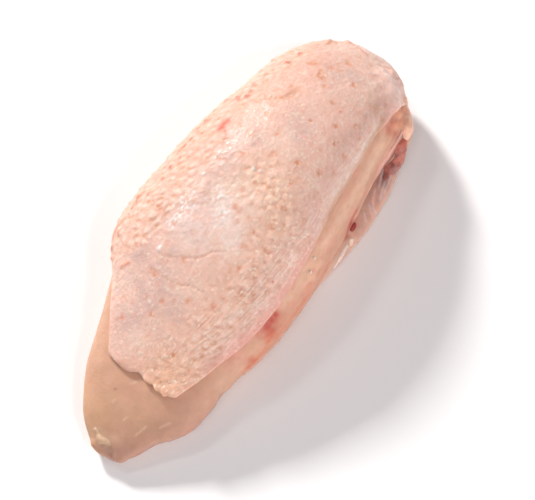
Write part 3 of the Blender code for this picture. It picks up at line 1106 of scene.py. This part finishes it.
# Places on the main fillet, with a radius in millimetres, and paths on it
SHOULDER_PATCHES = ((393, 124, 2.4), (389, 130, 2.0), (395, 133, 1.8))
FAT_PATCHES = ((400, 116, 2.8), (401, 123, 2.6), (398, 110, 2.2), (396, 127, 2.0))
ORANGE_PATCHES = ((271, 335, 2.3), (268, 341, 1.6), (253, 361, 2.0), (248, 366, 1.6))
BRUISE_PATCHES = ((271, 320, 2.6), (267, 326, 3.0), (275, 315, 1.6))
FLANK_SWELL = ((318, 263, 3.0), (314, 276, 3.2), (309, 288, 2.4))
FLANK_CREAM = ((318, 262, 2.0), (317, 268, 1.8), (311, 276, 1.8))
CLOT_PATCHES = ((352, 226, 1.1), (351, 224, 0.8), (344, 242, 0.9))
CLOT_HALO = ((351, 225, 2.5), (346, 237, 1.4))
TIP_PATCHES = ((97, 433, 1.6), (101, 438, 1.7), (105, 441, 1.4))
MEAT_DENTS = ((221, 398, 2.6), (157, 448, 5.0), (107, 456, 2.4))
MEAT_SWELLS = ((229, 386, 2.4), (94, 444, 1.6), (121, 461, 1.4))
SPECK = (115, 389, 0.32)
CREAM_STRIPE = (
    (384, 141), (378, 152), (369, 170), (361, 185), (352, 201), (341, 219), (330, 236), (316, 256),
    (300, 281), (284, 303),
)
DARK_SIDE = ((406, 138), (400, 146), (394, 155), (388, 163), (384, 170))
ORANGE_EDGE = (
    (328, 264), (322, 276), (314, 289), (305, 300), (296, 312), (284, 328), (268, 346), (252, 364),
)
PALE_RIM = ((262, 345), (248, 358), (235, 371), (222, 384))
PINK_EDGE = ((399, 138), (391, 150), (384, 162), (377, 175), (369, 191), (361, 207), (355, 219))
CLOT_STREAK = ((347, 233), (350, 224), (353, 217), (356, 211))
TAIL_STREAKS = (
    ((135, 436), (140, 432), (146, 427)), ((124, 420), (127, 417)), ((131, 384), (136, 382)),
    ((160, 428), (170, 423)), ((113, 402), (115, 399)),
)

# The same on the inner fillet
DARK_PATCHES = (
    (405, 150, 2.0), (401, 156, 2.8), (397, 160, 2.8), (391, 168, 2.4), (386, 174, 2.2), (383, 182, 2.0),
)
GREY_SHADE_PATCHES = ((380, 193, 1.8), (377, 201, 1.4), (387, 184, 1.8), (384, 175, 1.6), (371, 207, 1.2))
INNER_TAN = ((362, 226, 3.0), (366, 216, 2.0), (357, 234, 2.0))
INNER_SHADE = ((398, 146), (388, 163), (380, 178), (374, 190), (367, 203))
INNER_PINK = ((376, 192), (374, 199), (376, 208))
INNER_STRANDS = (
    ((383, 170), (381, 178), (379, 187)), ((385, 182), (382, 190), (380, 199)),
    ((375, 190), (373, 198), (373, 208), (376, 214)), ((369, 204), (371, 211), (373, 217)),
    ((391, 176), (388, 184), (384, 192)), ((364, 213), (366, 221)),
)


def ground_of(*things):
    """The surfaces of mesh objects as one ground for pixels."""
    points = []
    faces = []
    for thing in things:
        faces += [tuple(i + len(points) for i in face.vertices) for face in thing.data.polygons]
        points += read_points(thing.data).tolist()
    return Ground(points, faces)


def finish_meat(thing, look):
    """Moves a piece's points out by their relief, above the floor and within the box."""
    normals = read_vectors(thing.data.vertex_normals, "vector")
    points = (look.p + normals * look.relief[:, None]) * MM
    points[:, 2] = np.maximum(points[:, 2], 0)
    thing.data.vertices.foreach_set("co", keep_in_box(points).astype(np.float32).ravel())
    thing.data.update()


def add_grain(look):
    """Soft unevenness of the main fillet's surface."""
    look.relief += 0.15 * look.noise(9, 70) + 0.05 * look.noise(3.5, 71)


def paint_tail(look):
    x, y, z = look.p.T
    look.tint(MEAT_TIP, 0.8 * (1 - ramp(y, -84, -62)))
    # Painted shade: the tail's keel side is darker towards the floor
    low = (1 - ramp(z, 4, 16)) * ramp(x, -4, 8)
    look.tint(MEAT_MAUVE, 0.85 * low * (1 - ramp(y, -56, -40)))
    look.tint(MEAT_CREAM, 0.20 * look.clouds(9, 72, 0.0, 0.7))
    look.tint(MEAT_TAN, 0.20 * look.clouds(7, 73, 0.0, 0.7))
    look.strands(TAIL_STREAKS, 0.35, 0.10, MEAT_CREAM, 0.55)
    look.dry += 0.4 * (1 - ramp(y, -50, -35))
    tip = look.near(TIP_PATCHES)
    look.tint(FAT_YELLOW, 0.7 * tip)
    look.relief += tip * (0.4 + 0.6 * look.noise(1.6, 74))
    look.dry -= 0.4 * tip
    look.patch((SPECK,), CLOT, 0.7, -0.1)
    look.relief += 0.8 * look.near(MEAT_SWELLS) - 1.2 * look.near(MEAT_DENTS)


def paint_flank(look):
    x, y, z = look.p.T
    zone = ramp(x, 8, 16) * ramp(y, -52, -38)
    look.tint(MEAT_TAN, 0.4 * zone)
    look.tint(MEAT_PINK, 0.55 * zone * look.clouds(6, 75, -0.1, 0.6))
    look.strands((CREAM_STRIPE,), 2.8, 0.0, MEAT_CREAM, 0.7)
    look.relief += 0.30 * zone * rough_noise(look.p, 4.5, 78)
    look.tint(MEAT_TAN, 0.35 * zone * look.clouds(5, 79, 0.0, 0.7))
    fibres = rough_noise(np.stack([x / 1.3, y / 9, z / 1.3], axis=-1), 1.5, 76)
    look.relief += 0.14 * zone * fibres
    look.tint(MEAT_CREAM, 0.30 * zone * ramp(fibres, 0.0, 0.7))
    low = zone * (1 - ramp(y, -20, 0)) * look.clouds(3.5, 85, 0.0, 0.5)
    look.tint(MEAT_RED, 0.35 * low)
    look.relief += 0.2 * low
    look.patch(FLANK_SWELL, MEAT_ROSE, 0.5, 0.7)
    look.patch(FLANK_CREAM, MEAT_CREAM, 0.6, 0.2)
    look.strands((PALE_RIM,), 4.0, 0.0, MEAT_CREAM, 0.28)
    look.strands((ORANGE_EDGE,), 1.9, 0.0, ORANGE, 0.5)
    # Pale pink band along the flank's lower edge: partly its membrane, partly painted light against the
    # shade there
    look.strands((PINK_EDGE,), 1.5, 0.0, EDGE_PINK_LIT, 0.7)
    look.patch(ORANGE_PATCHES, ORANGE_RED, 0.8, 0.2)
    look.patch(BRUISE_PATCHES, BRUISE, 0.95, 0.1)
    look.patch(CLOT_HALO, BRUISE, 0.6)
    look.strands((CLOT_STREAK,), 1.2, 0.0, BRUISE, 0.7)
    look.patch(CLOT_PATCHES, CLOT, 0.9)


def paint_shoulder(look):
    look.patch(SHOULDER_PATCHES, BRUISE, 0.55)
    fat = look.near(FAT_PATCHES)
    look.tint(SALMON, 0.9 * fat)
    look.relief += fat * (0.5 + 0.8 * rough_noise(look.p, 3.2, 77))
    look.strands((DARK_SIDE,), 1.4, -0.3, INNER_DARK, 0.85)


def lift_tip(look):
    """Raises the blunt end's lower edge a little off the floor."""
    near = 1 - ramp(look.p[:, 1], -90, -81)
    look.p[:, 2] = np.maximum(look.p[:, 2], TIP_LIFT * near)


def make_fillet():
    fillet = sphere_mesh("breast_meat", 200, 260, fillet_point)
    bed = sphere_mesh("bed", 96, 110, inner_fillet_bed)
    cut = fillet.modifiers.new("bed", "BOOLEAN")
    cut.operation = "DIFFERENCE"
    cut.solver = "EXACT"
    cut.object = bed
    even_out(fillet, MEAT_VOXEL, 4)
    bpy.data.objects.remove(bed)
    look = Look(read_points(fillet.data), ground_of(fillet), MEAT_BASE)
    for paint in (add_grain, paint_tail, paint_flank, paint_shoulder, lift_tip):
        paint(look)
    finish_meat(fillet, look)
    material = tissue_material(
        "meat", (260, 0.05), (900, 3000), (0.34, 0.48), (0.5, 0.0040), 0.00009)
    dress(fillet, material, look.colours, look.dry, "breast_fillet")
    return fillet


def make_inner_fillet():
    inner = sphere_mesh("inner_meat", 160, 240, inner_fillet_point)
    look = Look(read_points(inner.data), ground_of(inner), INNER_BASE)
    look.relief += 0.15 * look.noise(6, 80) + 0.07 * look.noise(2.5, 81)
    look.tint(MEAT_TAN, 0.3 * look.clouds(6, 82, -0.1, 0.6))
    dark = look.near(DARK_PATCHES)
    look.relief += 0.4 * dark * rough_noise(look.p, 2.6, 83)
    look.tint(INNER_DARK, 0.9 * dark)
    # Grey along the flank's edge: partly grey tissue, partly painted shade under the flank
    look.patch(GREY_SHADE_PATCHES, INNER_GREY, 0.6)
    look.patch(INNER_TAN, MEAT_MAUVE, 0.6)
    look.patch(CLOT_HALO, BRUISE, 0.6)
    look.strands((INNER_SHADE,), 2.0, 0.0, INNER_DARK, 0.3)
    look.strands((INNER_PINK,), 0.8, 0.15, MEAT_PINK, 0.6)
    look.strands(INNER_STRANDS, 0.40, 0.10, MEMBRANE, 0.55)
    finish_meat(inner, look)
    material = tissue_material(
        "inner meat", (260, 0.06), (900, 3000), (0.28, 0.44), (0.5, 0.0040), 0.00012, coat=0.1)
    dress(inner, material, look.colours, look.dry, "inner_fillet")
    return inner


# ---------------- fat and loose tissue

# Width of the lumps' remeshed faces in metres, and balls from one knot of a chain to the next
LUMP_VOXEL = 0.22 * MM
BALLS_PER_LINK = 8

# Chains of balls: pixel x, pixel y, millimetres sunk below the surface, radius in millimetres
DARK_FLAP = (
    (403, 144, 1.8, 2.8), (401, 150, 2.6, 4.0), (397, 157, 2.8, 4.2), (392, 165, 2.6, 3.8),
    (387, 173, 2.4, 2.8), (384, 181, 1.9, 1.9),
)
SHOULDER_LOBE = (
    (404, 100, 0.6, 2.9), (405, 107, 1.0, 3.0), (407, 114, 1.4, 3.2), (408, 121, 1.6, 3.4),
    (408, 129, 1.6, 3.4), (406, 136, 1.6, 2.4),
)
SHOULDER_STRAND = (
    (402, 132, 0.2, 0.7), (398, 139, 0.2, 0.6), (391, 149, 0.2, 0.6), (386, 158, 0.2, 0.5),
    (382, 167, 0.2, 0.5),
)
FLANK_BEADS = ((314, 258, -0.3, 0.6),), ((310, 272, -0.3, 0.6),)
EDGE_MEMBRANE = ((347, 246, 0.5, 0.9), (341, 257, 0.6, 1.1), (334, 268, 0.5, 0.8))
EDGE_GLOB = ((351, 240, 0.3, 1.1), (351, 244, 0.3, 1.0))
CLOT_DROP = ((353, 225, 0.9, 1.7), (352, 229, 0.9, 1.4))
TIP_FAT = (
    (95, 429, 0.8, 1.1), (98, 434, 0.6, 1.0), (100, 439, 1.2, 1.8), (105, 441, 0.8, 1.2),
    (109, 444, 1.0, 1.3),
)

# Stains of the dark flap, as pixels with a radius in millimetres
FLAP_RED = ((402, 139, 2.6), (397, 144, 1.6), (406, 144, 1.4))
FLAP_GREY = ((403, 160, 1.8), (400, 166, 1.6), (395, 171, 1.4))
FLAP_DARK = ((395, 156, 1.6), (390, 164, 1.5), (384, 176, 1.6), (399, 150, 1.2))


def chain(ground, balls):
    """Centres and radii in metres of balls that fill in a chain between its knots."""
    knots = np.array([(*ground.below(x, y, sink * MM), radius * MM) for x, y, sink, radius in balls])
    steps = np.linspace(0, len(knots) - 1, (len(knots) - 1) * BALLS_PER_LINK + 1)
    rows = np.stack([np.interp(steps, range(len(knots)), column) for column in knots.T], axis=-1)
    return [(row[:3], row[3]) for row in rows]


def make_lump(name, ground, chains, colours, material, softening=9, stains=()):
    """A lump or strand of tissue: balls grown together, softened and roughened."""
    balls = [ball for knots in chains for ball in chain(ground, knots)]
    bm = bmesh.new()
    for centre, radius in balls:
        bmesh.ops.create_icosphere(bm, subdivisions=2, radius=radius, matrix=Matrix.Translation(centre))
    thing = finish_mesh(name, bm)
    even_out(thing, LUMP_VOXEL, softening)
    look = Look(read_points(thing.data), ground, colours[0])
    knobs = rough_noise(look.p, 3.0, 95)
    look.relief += 0.06 * knobs * max(radius for _, radius in balls) / MM
    look.tint(colours[1], ramp(knobs, -0.2, 0.7))
    for places, colour in stains:
        look.patch(places, colour, 0.9)
    look.dry -= 0.5 * ramp(look.noise(1.2, 97), 0.2, 0.5)
    finish_meat(thing, look)
    dress(thing, material, look.colours, look.dry, None)


def make_lumps(ground):
    fat = tissue_material(
        "fat", (900, 0.08), (1300, 3200), (0.26, 0.44), (0.25, 0.0010), 0.00010)
    dark = tissue_material(
        "dark tissue", (500, 0.12), (1100, 3000), (0.34, 0.50), (0.3, 0.0015), 0.00012)
    stains = (FLAP_RED, RUST), (FLAP_GREY, INNER_GREY), (FLAP_DARK, INNER_DARK)
    make_lump("dark_flap", ground, (DARK_FLAP,), (ROAN, UMBER), dark, 16, stains)
    make_lump("shoulder_lobe", ground, (SHOULDER_LOBE,), (APRICOT, PEACH), fat, 20)
    make_lump("shoulder_strand", ground, (SHOULDER_STRAND,), (BLUSH, MEAT_PINK), fat)
    # The flank's beads are white as painted highlights
    make_lump("flank_beads", ground, FLANK_BEADS, (GLINT_WHITE, IVORY), fat)
    make_lump("edge_membrane", ground, (EDGE_MEMBRANE,), (MEMBRANE, IVORY), fat)
    make_lump("edge_glob", ground, (EDGE_GLOB,), (IVORY, BUFF), fat)
    make_lump("clot", ground, (CLOT_DROP,), (CLOT, BRUISE), dark)
    make_lump("tip_fat", ground, (TIP_FAT,), (FAT_YELLOW, TIP_BROWN), fat)


# ---------------- stage

FLOOR_REACH = 3
FLOOR_COLOUR = (0.97, 0.965, 0.97, 1)
WORLD_COLOUR = (1.0, 0.96, 0.97, 1)
WORLD_STRENGTH = 0.18

# Square lamps: name, way towards it, distance and size in metres, power and colour
LAMPS = (
    ("key", (-0.806, 0.350, 0.477), 1.6, 0.20, 28, (1.0, 0.985, 0.965)),
    ("top", (-0.594, 0.094, 0.799), 1.5, 0.20, 2.2, (1.0, 0.99, 0.98)),
    ("front", (0.10, -0.50, 0.86), 1.5, 0.50, 3.2, (1.0, 0.98, 0.98)),
    ("side", (0.60, -0.10, 0.79), 1.5, 0.12, 2.4, (1.0, 0.98, 0.98)),
    ("fill", (0.92, -0.32, 0.29), 1.5, 1.2, 14, (1.0, 0.945, 0.95)),
)


def make_floor():
    corners = [(x * FLOOR_REACH, y * FLOOR_REACH, 0) for x, y in ((-1, -1), (1, -1), (1, 1), (-1, 1))]
    floor = make_mesh("floor", corners, [(0, 1, 2, 3)])
    material, tree = start_material("floor")
    finish_material(tree, add_node(tree, "BsdfDiffuse", {"Color": FLOOR_COLOUR}))
    floor.data.materials.append(material)


def make_light():
    for name, way, distance, size, power, colour in LAMPS:
        data = bpy.data.lights.new(name, "AREA")
        data.size = size
        data.energy = power
        data.color = colour
        lamp = add_object(name, data)
        way = Vector(way).normalized()
        lamp.location = TARGET + way * distance
        lamp.rotation_mode = "QUATERNION"
        lamp.rotation_quaternion = way.to_track_quat("Z", "Y")
    world = bpy.data.worlds.new("studio")
    world.use_nodes = True
    shade = world.node_tree.nodes["Background"]
    shade.inputs["Color"].default_value = WORLD_COLOUR
    shade.inputs["Strength"].default_value = WORLD_STRENGTH
    scene = bpy.context.scene
    scene.world = world
    scene.view_settings.view_transform = "Standard"
    scene.view_settings.look = "None"


make_camera()
make_floor()
make_light()
make_lumps(ground_of(make_inner_fillet(), make_fillet()))
make_skin()
